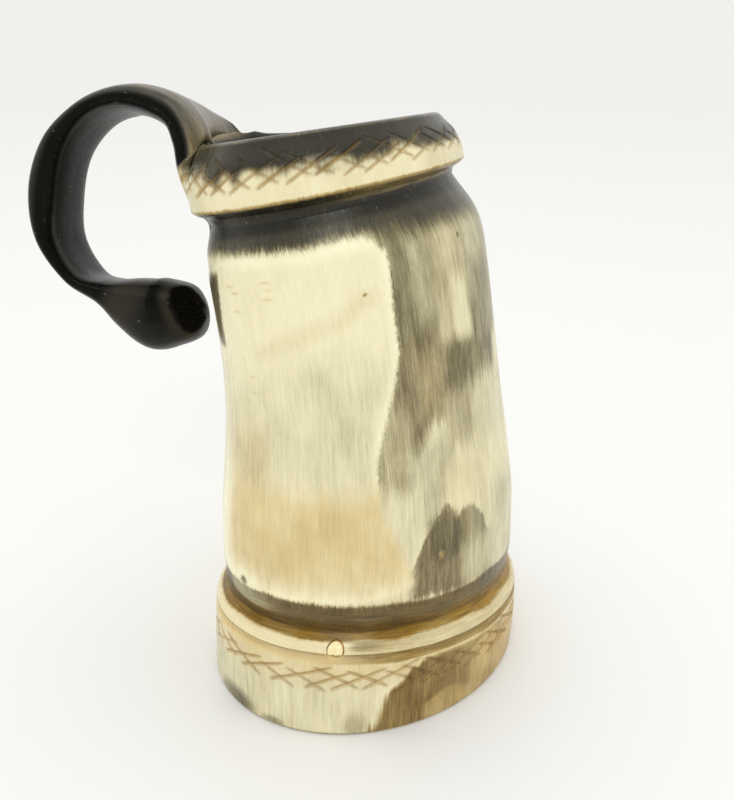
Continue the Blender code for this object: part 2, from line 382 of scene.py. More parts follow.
def strokes(count, low, high, rise, fall, seed):
    """The two crossing families of hand-cut strokes round a band: start and end of each as
    (angle, station), with a width factor. The rising strokes are longer and cut wider."""
    random = np.random.default_rng(seed)
    pitch = 360.0 / count
    found = []
    for index in range(count):
        middle = (index + 0.5) * pitch - 180.0
        for spread, weight in ((rise, 1.0), (-fall, 0.8)):
            length = random.uniform(0.72, 1.12)
            foot = middle - spread / 2 + random.uniform(-0.16, 0.16) * pitch
            start = (foot, low + random.uniform(-0.6, 0.9) + (0.6 if spread < 0 else 0.0))
            lift = (high - low) * length + random.uniform(-0.5, 0.5)
            end = (foot + spread * length, start[1] + lift)
            found.append((start, end, weight * random.uniform(0.75, 1.2)))
    return found


def cut_depth(angle, station, pattern, reach):
    """How deep the band's strokes are cut at each point, as a share of the usual depth, and the
    strength of their stains, which lie most along each stroke's upper side as painted shade."""
    depth = np.zeros_like(station)
    stain_and_shade = np.zeros_like(station)
    per_degree = math.radians(reach)
    by_band = np.abs(station - pattern["low"] - BAND_MIDDLE) < LOOKED_UP
    for start, end, weight in strokes(**pattern):
        middle = (start[0] + end[0]) / 2
        away = (angle - middle + 180.0) % 360.0 - 180.0
        near = np.flatnonzero((np.abs(away) < LOOKED_ROUND) & by_band)
        x = away[near] * per_degree - (start[0] - middle) * per_degree
        y = station[near] - start[1]
        ahead = np.array(((end[0] - start[0]) * per_degree, end[1] - start[1]))
        length = np.hypot(*ahead)
        ahead /= length
        run = x * ahead[0] + y * ahead[1]
        below = x * ahead[1] - y * ahead[0]
        taper = within(run, 0.0, STROKE_TAPERS[0], length, STROKE_TAPERS[1])
        breadth = STROKE_HALF_WIDTH * weight * (STROKE_TIP + (1.0 - STROKE_TIP) * taper)
        vee = np.clip(1.0 - np.abs(below) / breadth, 0.0, 1.0)
        depth[near] = np.maximum(depth[near], vee * taper * weight)
        # The stain along the stroke, lifted onto its upper facet as painted shade.
        halo = np.exp(-(((below + SHADE_RISE) / STAIN_AND_SHADE_REACH) ** 2))
        halo *= within(run, 0.0, STAIN_AND_SHADE_TAPERS[0], length, STAIN_AND_SHADE_TAPERS[1])
        stain_and_shade[near] = 1.0 - (1.0 - stain_and_shade[near]) * (1.0 - STAIN_AND_SHADE_STRENGTH * halo * weight)
    return depth, stain_and_shade


def all_cuts(angle, station):
    """The depth of the cuts and the strength of their stains and painted shade, over both bands."""
    collar = cut_depth(angle, station, COLLAR_STROKES, COLLAR_REACH)
    foot = cut_depth(angle, station, FOOT_STROKES, FOOT_REACH)
    return np.maximum(collar, foot)


# ---- meshes


def in_metres(points):
    return ((points + FOOT_MIDDLE) * MM).astype(np.float32).ravel()


def place_in_scene(name, data, location=(0.0, 0.0, 0.0)):
    made = bpy.data.objects.new(name, data)
    made.location = location
    bpy.context.scene.collection.objects.link(made)
    return made


def mesh_from(name, points, quads, triangles=()):
    """An object from millimetre points and faces."""
    data = bpy.data.meshes.new(name)
    quads = np.asarray(quads, np.int32).reshape(-1, 4)
    triangles = np.asarray(triangles, np.int32).reshape(-1, 3)
    corners = np.concatenate((quads.ravel(), triangles.ravel()))
    sizes = np.concatenate((np.full(len(quads), 4), np.full(len(triangles), 3)))
    data.vertices.add(len(points))
    data.vertices.foreach_set("co", in_metres(points))
    data.loops.add(len(corners))
    data.loops.foreach_set("vertex_index", corners)
    data.polygons.add(len(sizes))
    starts = np.concatenate(((0,), np.cumsum(sizes)[:-1]))
    data.polygons.foreach_set("loop_start", starts.astype(np.int32))
    data.update(calc_edges=True)
    data.validate()
    data.shade_smooth()
    return place_in_scene(name, data)


def points_of(target):
    """The object's vertices in millimetres from the foot's middle."""
    flat = np.empty(len(target.data.vertices) * 3, np.float32)
    target.data.vertices.foreach_get("co", flat)
    return flat.reshape(-1, 3).astype(float) / MM - FOOT_MIDDLE


def move_points(target, points):
    target.data.vertices.foreach_set("co", in_metres(points))
    target.data.update()


def loft(name, rings, closed_round=False):
    """A skin through rings of equal count: joined end to start, or capped at both ends.
    The rings turn anticlockwise seen from ahead of the last one."""
    rows, count = rings.shape[:2]
    index = np.arange(rows * count).reshape(rows, count)
    low, high = (index, np.roll(index, -1, 0)) if closed_round else (index[:-1], index[1:])
    quads = np.stack((low, np.roll(low, -1, 1), np.roll(high, -1, 1), high), -1)
    points = rings.reshape(-1, 3)
    if closed_round:
        return mesh_from(name, points, quads)
    points = np.vstack((points, rings[0].mean(0), rings[-1].mean(0)))
    first, last = rows * count, rows * count + 1
    bottom = np.stack((np.roll(index[0], -1), index[0], np.full(count, first)), -1)
    top = np.stack((index[-1], np.roll(index[-1], -1), np.full(count, last)), -1)
    return mesh_from(name, points, quads, np.vstack((bottom, top)))


def stations_up(stretches):
    found = [stretches[0][0][0][0]]
    for knots, spacing in stretches:
        start, end = knots[0][0], knots[-1][0]
        steps = max(1, round((end - start) / spacing))
        found += [start + (end - start) * step / steps for step in range(1, steps + 1)]
    return np.array(found)


def combine(target, tools, operation):
    """Applies a Boolean of the target with each tool, and removes the tools."""
    for tool in tools:
        modifier = target.modifiers.new("combine", "BOOLEAN")
        modifier.operation = operation
        modifier.solver = "MANIFOLD"
        modifier.object = tool
    graph = bpy.context.evaluated_depsgraph_get()
    made = bpy.data.meshes.new_from_object(target.evaluated_get(graph))
    target.modifiers.clear()
    target.data = made
    for tool in tools:
        bpy.data.objects.remove(tool, do_unlink=True)


def add_attribute(target, name, values):
    kind = "FLOAT_VECTOR" if values.ndim == 2 else "FLOAT"
    attribute = target.data.attributes.new(name, kind, "POINT")
    key = "vector" if values.ndim == 2 else "value"
    attribute.data.foreach_set(key, values.astype(np.float32).ravel())


# ---- horn body

# The scraper worked the body between these stations, each with its blur, and this much elsewhere.
SCRAPED = (22.0, 8.0, 134.0, 6.0)
SCRAPED_ELSEWHERE = 0.25


def ring_grid(stretches, reverse=False):
    """Every ring's station and every point's turn, as two grids."""
    station = stations_up(stretches)[:, None]
    turn = full_turn(AROUND)[None, :]
    return np.broadcast_arrays(station[::-1] if reverse else station, turn)


def angle_of(points, station):
    """The direction of points from the axis, in degrees."""
    centre = ring_centre(station)
    return np.degrees(np.arctan2(points[..., 1] - centre[..., 1], points[..., 0] - centre[..., 0]))


def outer_rings():
    station, turn = ring_grid(OUTER_STRETCHES)
    width = half_width(OUTER_STRETCHES, station)
    angle = angle_of(ring_points(station, width, turn), station)
    depth = STROKE_DEPTH * all_cuts(angle.ravel(), station.ravel())[0].reshape(station.shape)
    scraped = SCRAPED_ELSEWHERE + (1.0 - SCRAPED_ELSEWHERE) * within(station, *SCRAPED)
    depth += scraping(angle, station) * scraped * smooth(station / 2.0)
    return swept_lip(ring_points(station, width - depth, turn), station)


def swept_lip(points, station):
    """Lifts the lip where it flows into the handle."""
    rise = curve(LIP_RISE, angle_of(points, station) % 360.0)
    points[..., 2] += rise * past(station, LIP_SWEEP_START, LIP - LIP_SWEEP_START)
    return points


def bore_rings():
    station, turn = ring_grid(BORE_STRETCHES, reverse=True)
    return swept_lip(ring_points(station, half_width(BORE_STRETCHES, station), turn), station)


def beyond_flat(points, flat):
    """How far each point is beyond a flat's plane, and the way the flat faces."""
    place, facing = np.array(flat, float)
    facing /= np.linalg.norm(facing)
    return (points - place) @ facing, facing


def shave(points, flat, share):
    """Files points beyond a flat down to it, with a slightly rounded edge. Share fades it in
    along the handle, and points far beyond the flat belong to another stretch and stay."""
    beyond, facing = beyond_flat(points, flat)
    kept = FLAT_SOFTNESS * (np.tanh(beyond / FLAT_SOFTNESS + 1.0) - 1.0)
    shaved = np.where((beyond > -FLAT_SOFTNESS) & (beyond < FLAT_DEEPEST), kept, beyond)
    return points + ((shaved - beyond) * share)[..., None] * facing


def handle_rings():
    path = handle_path()
    outward = handle_outward(path)
    turn = full_turn(HANDLE_AROUND)
    power = 2 / FLANK_SQUARENESS
    out = np.sign(np.sin(turn)) * np.abs(np.sin(turn)) ** power
    side = np.sign(np.cos(turn)) * np.abs(np.cos(turn)) ** power
    out = path[:, 2, None] / 2 * out
    side = path[:, 3, None] / 2 * side
    knot = (np.arange(len(path)) / STEPS_PER_KNOT)[:, None]
    side = np.where(side > 0.0, side * (1.0 + curve(ROOT_FLARE, knot)), side)
    inner_share = smooth(0.5 - out / path[:, 2, None])
    bend = mix(BEND_OF_OUTER_FACE, BEND_OF_INNER_FACE, inner_share) * curve(ROOT_BEND, knot)
    out = out + bend * np.maximum(side, 0.0) ** 2
    x = path[:, 0, None] + outward[:, 0, None] * out
    z = path[:, 1, None] + outward[:, 1, None] * out - HANDLE_SAG * side
    points = np.stack((x, HANDLE_Y + side, z), -1)
    share = past(np.arange(BULB_ROWS), *FLAT_FADE)[:, None]
    points[-BULB_ROWS:] = shave(points[-BULB_ROWS:], END_FLAT, share)
    return points


def peg_line(angle):
    """The horn's axis at the pegs' station, and the outward way of a peg."""
    lean_x, lean_y = ring_lean(np.array(PEG_STATION))
    x, y = math.cos(math.radians(angle)), math.sin(math.radians(angle))
    direction = np.array((x, y, -lean_x * x - lean_y * y))
    return axis_point(PEG_STATION), direction / np.linalg.norm(direction)


def peg_circle(direction, turn):
    """Offsets round a unit circle square to a peg."""
    level = np.cross((0.0, 0.0, 1.0), direction)
    level /= np.linalg.norm(level)
    return np.cos(turn)[:, None] * level + np.sin(turn)[:, None] * np.cross(direction, level)


def seat_reach(angle):
    """How far the disc's seat is from the axis along a peg."""
    station = np.array(PEG_STATION)
    seat = ring_points(station, bore_width(station), turn_at(angle, station))
    return np.linalg.norm(seat - axis_point(PEG_STATION))


def peg_hole(angle):
    origin, direction = peg_line(angle)
    inner = seat_reach(angle) - PEG_DEPTH_IN_DISC - PEG_GAP
    circle = peg_circle(direction, full_turn(PEG_HOLE_SIDES)) * (PEG_RADIUS + PEG_GAP)
    ends = (inner, inner + PEG_HOLE_LENGTH)
    return loft("hole", np.array([origin + direction * reach + circle for reach in ends]))


def drill_peg_holes(target):
    combine(target, [peg_hole(angle) for angle in PEG_ANGLES.values()], "DIFFERENCE")


SOFTENING_PASSES = 60
SOFTENING_SHARE = 0.6


def junction_share(points):
    """Where the corner between the handle and the collar is rounded, from 0 to 1."""
    station, _, _, beyond = horn_coordinates(points)
    at_root = before(points[:, 0], -36.0, 2.0) * (points[:, 2] > 125.0)
    at_root *= within(points[:, 1], 1.3, 1.5, 38.0, 5.0)
    over_lip = within(station, 148.4, 1.2, 156.0, 3.0) * past(beyond, -8.0, 2.0) * (beyond < 3.0)
    return at_root * np.maximum(before(np.abs(beyond), 2.4, 1.6), over_lip)


def soften_junction(target):
    """Rounds the inner corner where the handle leaves the collar, as a file would."""
    points = points_of(target)
    weight = junction_share(points)
    edges = np.empty(len(target.data.edges) * 2, np.int32)
    target.data.edges.foreach_get("vertices", edges)
    edges = edges.reshape(-1, 2)
    edges = edges[(weight[edges] > 0).any(1)]
    ends, others = np.vstack((edges, edges[:, ::-1])).T
    neighbours = np.maximum(np.bincount(ends, minlength=len(points)), 1)[:, None]
    for _ in range(SOFTENING_PASSES):
        total = np.stack([np.bincount(ends, points[others, k], len(points)) for k in range(3)], 1)
        points = mix(points, total / neighbours, SOFTENING_SHARE * weight[:, None])
    move_points(target, points)


def make_horn():
    skin = np.concatenate((outer_rings(), bore_rings()))
    made = loft("horn_body_carved", skin, closed_round=True)
    combine(made, [loft("handle_strip", handle_rings())], "UNION")
    soften_junction(made)
    drill_peg_holes(made)
    return made


# ---- pigment

# Each patch of the horn's pigment: its left and right angle, bottom and top station, the blur
# of its sides in degrees and of its ends in millimetres, how far its ends fray along the
# fibres, its pigment (0 pale cream, 1 black) and its warmth (1 amber). A side can be a curve
# of angle against station, and an end one of station against angle. Later ones lie on top.
CREAM_LEFT = ((33, -154), (97, -154), (105, -140), (112, -144), (121, -144), (128, -139))
CREAM_RIGHT = (
    (34, -70),
    (38, -66),
    (45, -70),
    (52, -75),
    (60, -78),
    (72, -77),
    (82, -73),
    (93, -67),
    (101, -64),
    (126, -64),
)
CREAM_BOTTOM = ((-152, 33), (-120, 33.6), (-98, 34.4), (-84, 35.4), (-66, 37.5))
CREAM_TOP = ((-150, 121), (-142, 123.5), (-120, 126.3), (-103, 127), (-85, 126), (-72, 125.4), (-66, 122))
SWATH_LEFT = ((60, -68), (75, -72), (85, -70), (92, -66), (98, -64))
SWATH_BOTTOM = ((-76, 68), (-66, 66), (-58, 72), (-50, 82), (-40, 80), (-30, 85), (-20, 87), (-8, 89))
ARC_BOTTOM = ((-124, 99), (-104, 102), (-75, 110))
ARC_TOP = ((-124, 103), (-104, 107), (-75, 114))
JAGGED_TOP = ((-66, 42), (-60, 50), (-55, 54), (-49, 57.5), (-44, 54), (-37, 56), (-30, 53), (-22, 46))
TINT_RIGHT = tuple((station, angle - 3.0) for station, angle in CREAM_RIGHT)
TAN_RIGHT = tuple((station, angle + 1.5) for station, angle in CREAM_RIGHT)
BODY_PATCHES = (
    # left, right, bottom, top, side blur, end blur, fray, pigment, warmth
    (-165, 24, 24, 136, 10, 6, 2, 0.18, 0.05),
    (-66, 28, 96, 130, 3, 6, 6, 0.46, 0.0),
    (-67, -54, 86, 124, 5, 9, 5, 0.56, 0.0),
    (-53, -45, 104, 122, 5, 9, 6, 0.36, 0.0),
    (-23, -13, 108, 126, 6, 9, 6, 0.32, 0.0),
    (SWATH_LEFT, -5, SWATH_BOTTOM, 103, 5, 10, 6, 0.6, 0.14),
    (-62, -54, 84, 98, 6, 10, 4, 0.46, 0.1),
    (-80, -60, 66, 86, 8, 12, 6, 0.38, 0.08),
    (-58, -44, 82, 98, 7, 8, 4, 0.42, 0.3),
    (-44, -23.5, 97.5, 124, 5, 5, 4, 0.35, 0.14),
    (-36, -24, 98, 112, 6, 6, 3, 0.15, 0.05),
    (-63, -42, 56, 74, 8, 9, 5, 0.3, 0.0),
    (-42, 8, 50, 76, 8, 9, 5, 0.17, 0.1),
    (-50, -34, 54, 68, 10, 9, 4, 0.15, 0.2),
    (-44, -28, 72, 86, 7, 8, 5, 0.38, 0.1),
    (-26, 8, 70, 86, 8, 8, 5, 0.24, 0.0),
    (-19, 0, 96, 114, 6, 7, 5, 0.54, 0.0),
    (-66, -22, 33.5, JAGGED_TOP, 5, 1.8, 3.5, 0.46, 0.08),
    (-64, -38, 33.5, JAGGED_TOP, 5, 2.2, 3.5, 0.56, 0.2),
    (-58, -42, 43, 55, 7, 6, 2, 0.7, 0.2),
    (-42, -24, 33.5, 46, 8, 9, 4, 0.26, 0.05),
    (-24, 8, 33.5, 58, 9, 9, 3, 0.28, 0.0),
    (CREAM_LEFT, CREAM_RIGHT, CREAM_BOTTOM, CREAM_TOP, 3.0, 2.0, 1.2, 0.0, 0.0),
    (-147, TINT_RIGHT, 38, 122.5, 3, 3, 2, 0.05, 0.06),
    (-124, -70, ARC_BOTTOM, ARC_TOP, 8, 4, 1, 0.1, 0.12),
    (-150, -90, 64, 96, 14, 16, 8, 0.15, 0.05),
    (-142, -122, 56, 80, 8, 12, 8, 0.21, 0.24),
    (-102, TINT_RIGHT, 64, 96, 9, 14, 8, 0.2, 0.0),
    (-142, TAN_RIGHT, 38, 65, 6, 11, 6, 0.145, 0.44),
    (-166, -141.5, 102, 121, 3, 2.5, 1, 0.66, 0.1),
)
BACK_PATCHES = (
    (18, 205, 24, 136, 10, 6, 2, 0.2, 0.0),
    (26, 58, 30, 88, 9, 20, 6, 0.55, 0.12),
    (40, 64, 70, 118, 9, 22, 6, 0.42, 0.0),
    (60, 112, 66, 124, 8, 8, 2.5, 0.08, 0.03),
    (66, 108, 34, 60, 8, 12, 6, 0.13, 0.35),
    (112, 140, 28, 92, 9, 26, 6, 0.52, 0.12),
    (122, 150, 60, 116, 9, 24, 6, 0.44, 0.0),
    (126, 138, 62, 96, 6, 18, 6, 0.3, 0.1),
    (152, 198, 34, 80, 9, 12, 6, 0.1, 0.1),
    (164, 192, 80, 128, 8, 22, 5, 0.42, 0.05),
)
# How far the back patches' outlines wander, in degrees and in millimetres.
WANDER_ROUND = 16.0
WANDER_UP = 18.0

# Small marks: angle and station, width in degrees, height, pigment and warmth.
MARKS = (
    (-25.0, 121.0, 0.9, 0.5, 0.8, 0.1),
    (-75.0, 113.5, 1.1, 0.45, 0.5, 0.8),
    (-133.0, 35.0, 2.2, 1.3, 0.6, 0.1),
    (-131.0, 118.6, 3.2, 0.4, 0.12, 0.42),
    (-128.5, 117.0, 2.6, 0.3, 0.12, 0.42),
    (-129.0, 112.4, 2.8, 0.4, 0.13, 0.45),
    (-113.0, 119.4, 2.6, 0.3, 0.11, 0.34),
    (-112.0, 117.4, 2.8, 0.3, 0.11, 0.34),
    (-113.0, 115.2, 2.4, 0.3, 0.11, 0.34),
    (-126.0, 95.0, 2.0, 0.4, 0.2, 0.2),
    (-125.0, 90.5, 2.2, 0.4, 0.2, 0.2),
    (-92.0, 67.0, 1.5, 0.25, 0.3, 0.5),
    (-52.0, 45.0, 1.4, 1.4, 0.36, 0.7),
)


def edge(side, at):
    return curve(side, at) if isinstance(side, tuple) else side


def edge_values(side):
    return [value for _, value in side] if isinstance(side, tuple) else [side]


class Skin:
    """The horn's pigment and warmth at points of its skin, laid on in coats. Thread is a fine
    noise along the fibres and drift a broad one, both from -1 to 1."""

    def __init__(self, station, angle):
        self.thread = fibres(angle, station, 21)
        self.drift = 2.0 * lattice(angle, station, 12.0, 14.0, 31) - 1.0
        self.fields = station, angle, self.thread, self.drift
        self.pigment = np.full_like(station, 0.15)
        self.warmth = np.zeros_like(station)

    def lay(self, mask, pigment, warmth):
        self.pigment = mix(self.pigment, pigment, mask)
        self.warmth = mix(self.warmth, warmth, mask)

    def lay_patches(self, patches, angle, station):
        for patch in patches:
            self.lay(self.patch_mask(patch, angle, station), *patch[7:])

    def patch_mask(self, patch, angle, station):
        """Where a patch lies, from 0 to 1."""
        left, right, bottom, top, side_blur, end_blur, fray = patch[:7]
        ends = edge_values(left) + edge_values(right)
        middle = (min(ends) + max(ends)) / 2
        angle = (angle - middle + 180.0) % 360.0 - 180.0 + middle + 1.2 * self.drift
        angle = angle + 0.6 * self.thread
        station = station + 0.4 * fray * self.thread + 0.9 * self.drift
        inside = np.minimum(angle - edge(left, station), edge(right, station) - angle)
        between_ends = np.minimum(station - edge(bottom, angle), edge(top, angle) - station)
        return smooth(inside / side_blur + 0.5) * smooth(between_ends / end_blur + 0.5)

    def lay_spot(self, angle, station, across, high, pigment, warmth, share=1.0, size=1.3):
        """An oval spot with soft edges."""
        away = np.hypot((self.fields[1] - angle) / across, (self.fields[0] - station) / high)
        self.lay(smooth(size - away) * share, pigment, warmth)


def paint_body(skin):
    station, angle, thread, _ = skin.fields
    skin.lay_patches(BODY_PATCHES, angle, station)
    wandering = angle + WANDER_ROUND * (lattice(angle, station, 24.0, 30.0, 61) - 0.5)
    rising = station + WANDER_UP * (lattice(angle, station, 20.0, 34.0, 62) - 0.5)
    skin.lay_patches(BACK_PATCHES, wandering, rising)
    skin.pigment = skin.pigment + 0.2 * skin.pigment * (1.0 - skin.pigment) * thread
    for mark in MARKS:
        skin.lay_spot(*mark)


def paint_neck(skin):
    """The black turned neck, frayed below, and paler on the right under the collar."""
    station, angle, thread, drift = skin.fields
    frayed = station + 0.5 * thread + 0.8 * drift
    right = within(angle, -72.0, 14.0, 60.0, 40.0)
    skin.lay(past(frayed, 124.3 - 2.8 * right, 3.6 + 2.6 * right), 0.8, 0.0)
    skin.lay(past(station, 129.0, 2.0), 0.96, 0.0)
    skin.lay(past(station, 133.2, 1.0), 0.93 - 0.28 * within(angle, -95.0, 40.0, 30.0, 40.0), 0.4)


def paint_collar(skin):
    """Golden at its lower corner, then cream, and near black above a ragged line to the lip."""
    station, angle, thread, drift = skin.fields
    skin.lay(past(station + 0.2 * thread, 135.9, 0.5), 0.4, 0.8)
    skin.lay(past(station + 0.3 * thread, 136.5, 0.6), 0.08 + 0.1 * past(angle, -45.0, 20.0), 0.1)
    by_root = before(angle, -128.0, 16.0) + past(angle, 160.0, 10.0)
    ragged = 1.4 * by_root + 0.5 * drift + 2.4 * (lattice(angle, station, 5.0, 2.4, 51) - 0.5)
    grey = before(angle, -118.0, 12.0) + 0.3 * past(angle, -80.0, 30.0)
    skin.lay(past(station + 0.5 * thread, 140.7 + ragged, 4.6), 0.91 - 0.12 * grey, 0.0)
    # A paler broken line along the lip's crest: partly a worn edge, partly a painted highlight.
    worn_edge_and_highlight = within(station, 149.3, 0.15, 149.8, 0.15)
    skin.lay(worn_edge_and_highlight * (0.35 + 0.65 * lattice(angle, station, 9.0, 40.0, 52)), 0.66, 0.0)


def paint_groove(skin):
    """The brown hollow over the foot, golden lower down and nearly black at the far left."""
    station, angle, thread, drift = skin.fields
    low = before(station, 34.4 + 0.35 * thread + 0.5 * drift, 1.5)
    skin.lay(low, 0.65 + 0.04 * drift, 0.6)
    skin.lay(low * within(angle, -150.0, 12.0, -112.0, 16.0), 0.46, 0.12)
    skin.lay(low * within(angle, -190.0, 20.0, -140.0, 8.0), 0.92, 0.0)
    golden = within(angle, -80.0, 40.0, 60.0, 40.0)
    skin.lay(before(station, 29.4 + 0.3 * thread, 2.2), 0.69 - 0.12 * golden, 1.0)
    skin.lay(before(station, 25.9 + 0.4 * drift, 0.8), 0.5 - 0.06 * golden, 1.0)


def paint_shoulder(skin):
    """The pale shoulder that the pegs show in, rubbed right of the front one, and its groove."""
    station, angle, thread, drift = skin.fields
    shoulder = before(station, 24.0 + 0.2 * thread + 0.4 * drift, 0.7)
    tan = past(angle, -92.0, 10.0)
    skin.lay(shoulder, 0.09 + 0.13 * tan, 0.22 + 0.08 * tan)
    rubbed = within(angle, -92.0, 6.0, -66.0, 12.0) * past(station, 21.0, 0.8)
    skin.lay(shoulder * rubbed, 0.36 + 0.1 * drift, 0.4)
    # A darker amber line along the top of the groove, where its upper wall faces down: a painted shadow
    # line.
    skin.lay(before(station, 20.6, 0.25), 0.5, 0.8)
    brown = past(angle, -108.0, 40.0)
    skin.lay(before(station, 20.0, 0.4), 0.12 + 0.3 * brown, 0.52 + 0.26 * brown)
    skin.lay(before(station, 17.9 + 0.3 * drift, 0.6), 0.14, 0.34)


def paint_foot(skin):
    """Cream and streaked at the left, brown at the right behind a slanting edge."""
    station, angle, thread, drift = skin.fields
    on_foot = before(station, 17.8, 1.0)
    streaks = 0.17 + 0.09 * thread * before(station, 12.0, 6.0) + 0.06 * drift
    streaks += 0.06 * before(angle, -112.0, 8.0) - 0.05 * past(angle, -106.0, 8.0)
    skin.lay(on_foot * before(station, 15.0, 6.0), streaks, 0.06)
    slanting = -79.5 - 2.5 * thread + 0.8 * (station - 5.0) + 1.2 * np.maximum(station - 9.0, 0.0)
    below_groove = on_foot * before(station, 18.2, 3.0)
    brown = within(angle, slanting, 4.0, 56.0, 40.0)
    skin.lay(below_groove * brown, 0.53 + 0.05 * thread, 0.8)
    lighter = within(angle, -62.0, 20.0, 56.0, 40.0)
    skin.lay(below_groove * lighter, 0.45 + 0.05 * thread - 0.16 * past(angle, -42.0, 16.0), 0.74)
    pale = within(angle, -60.0 - 3.0 * drift, 3.0, -14.0, 12.0)
    pale *= before(station, 5.6 + 2.2 * drift - 0.003 * (angle + 42.0) ** 2, 1.0)
    skin.lay(on_foot * pale, 0.35, 0.72)
    skin.lay_spot(-87.0, 2.5, 5.0, 3.5, 0.34, 0.1, on_foot)
    skin.lay(on_foot * within(angle, 60.0, 12.0, 170.0, 12.0), 0.22 + 0.25 * drift, 0.25)
    skin.lay_spot(-134.0, 1.5, 9.0, 3.0, 0.6, 0.0, on_foot, size=1.4)
    skin.lay_spot(-117.0, 0.8, 5.0, 1.6, 0.5, 0.1, on_foot)
    skin.lay(before(station, 0.7, 0.5), 0.4, 0.8)


def painted(station, angle):
    """The horn's pigment and warmth at each point of the skin."""
    skin = Skin(station, angle)
    for paint in (paint_body, paint_neck, paint_collar, paint_groove, paint_shoulder, paint_foot):
        paint(skin)
    return np.clip(skin.pigment, 0.0, 1.0), np.clip(skin.warmth, 0.0, 1.0)


def nearest_on_path(points, path):
    """Each point's nearest row of the handle's path, and its offset out of the loop."""
    nearest = np.zeros(len(points), int)
    best = np.full(len(points), np.inf)
    flat = points[:, [0, 2]].copy()
    flat[:, 1] += HANDLE_SAG * (points[:, 1] - HANDLE_Y)
    for index, row in enumerate(path):
        distance = np.hypot(flat[:, 0] - row[0], flat[:, 1] - row[1])
        closer = distance < best
        best[closer] = distance[closer]
        nearest[closer] = index
    outward = handle_outward(path)[nearest]
    return nearest, ((flat - path[nearest, :2]) * outward).sum(1)


SLOPE_STEP = 0.8
# The horn's distance from its axis, for its grain, and where the handle's grain starts.
GRAIN_REACH = 38.0
HANDLE_GRAIN_START = 100.0
# The pigment of the handle's outer face, by knot.
OUTER_FACE_NEAR = ((1.6, 0.5), (2.4, 0.62), (3.2, 0.7), (4.0, 0.73))
OUTER_FACE_DARKNESS = (*OUTER_FACE_NEAR, (5.2, 0.76), (6.4, 0.84), (8.0, 0.96))


def pigment_slopes(station, angle):
    """How fast the pigment changes, per degree round the skin and per millimetre up it."""
    above, _ = painted(station + SLOPE_STEP, angle)
    below, _ = painted(station - SLOPE_STEP, angle)
    right, _ = painted(station, angle + SLOPE_STEP)
    left, _ = painted(station, angle - SLOPE_STEP)
    return np.stack((right - left, above - below, np.zeros_like(above)), 1) / (2 * SLOPE_STEP)


def crease_height(x):
    return CREASE_HEIGHT + CREASE_SLOPE * (x - CREASE_X)


def handle_share(points, station, beyond):
    """How far each point belongs to the handle and not to the collar, from 0 to 1."""
    x, _, z = points.T
    above = np.maximum(past(z, crease_height(x) - 0.25, 0.5), (z < 122.0) | (x < CREASE_LEFT))
    over_lip = past(station, LIP + 0.2, 0.8) * before(x, -37.0, 2.5)
    share = np.maximum(past(beyond, 0.2, 0.8) * above, over_lip)
    return share * before(x, -30.0, 3.0) * (z > 80.0)


def paint_crease(points, beyond, pigment, warmth):
    """The worn line between the collar's facet and the handle, and the facet's pale rim."""
    x, y, z = points.T
    crease = crease_height(x)
    beside = (x < -38.0) * (x > CREASE_LEFT) * (beyond > -0.3)
    line = smooth(1.5 - np.abs(z - crease) / 0.45) * beside * (y < 9.0)
    rim = before(x, -47.6, 1.6) * beside * (z > 131.0) * before(z, crease, 1.0)
    pigment = mix(pigment, 0.45, 0.8 * line)
    return mix(pigment, 0.22, rim), mix(warmth, 0.45, rim)


def handle_finish(points):
    """The pigment, the warmth and the grain's coordinates at points of the handle."""
    path = handle_path()
    row, out = nearest_on_path(points, path)
    knot = row / STEPS_PER_KNOT
    lengths = np.concatenate(((0.0,), np.cumsum(np.hypot(*np.diff(path[:, :2], axis=0).T))))[row]
    side = points[:, 1] - HANDLE_Y
    thickness = path[row, 2]
    outer_face = past(out / thickness, -0.03, 0.2)
    strands = lattice(8.0 * side, lengths, 12.0, 26.0, 71) - 0.5
    dark = mix(1.0, curve(OUTER_FACE_DARKNESS, knot) + 0.18 * strands, outer_face)
    warm = 0.35 * before(knot, 3.0, 1.2) * outer_face
    # A paler line along both edges of the near flank: a painted highlight on its ridges.
    ridge_highlight = smooth(1.4 - np.abs(np.abs(out) - 0.42 * thickness) / 0.45) * before(side, -7.0, 2.0)
    dark = mix(dark, 0.82, 0.8 * ridge_highlight * within(knot, 4.0, 1.0, 12.0, 1.0))
    inner_root = before(knot, 3.8, 1.6) * before(out, -0.3 * thickness, 1.4)
    dark, warm = mix(dark, 0.6, inner_root), mix(warm, 0.6, inner_root)
    brown = within(knot, 11.0, 0.8, 13.4, 1.4) * before(side, 4.0, 8.0)
    dark, warm = mix(dark, 0.86, brown), mix(warm, 0.25, brown)
    from_flat = np.abs(beyond_flat(points, END_FLAT)[0])
    at_end = past(knot, 13.4, 0.8)
    dark = mix(dark, 0.88, at_end * before(from_flat, 4.0, 2.5))
    dark = mix(dark, 1.0, at_end * before(from_flat, 1.1, 0.6))
    warm = np.clip(mix(warm, 0.35, at_end), 0.0, 1.0)
    return dark, warm, np.stack((out, side, lengths + HANDLE_GRAIN_START), 1)


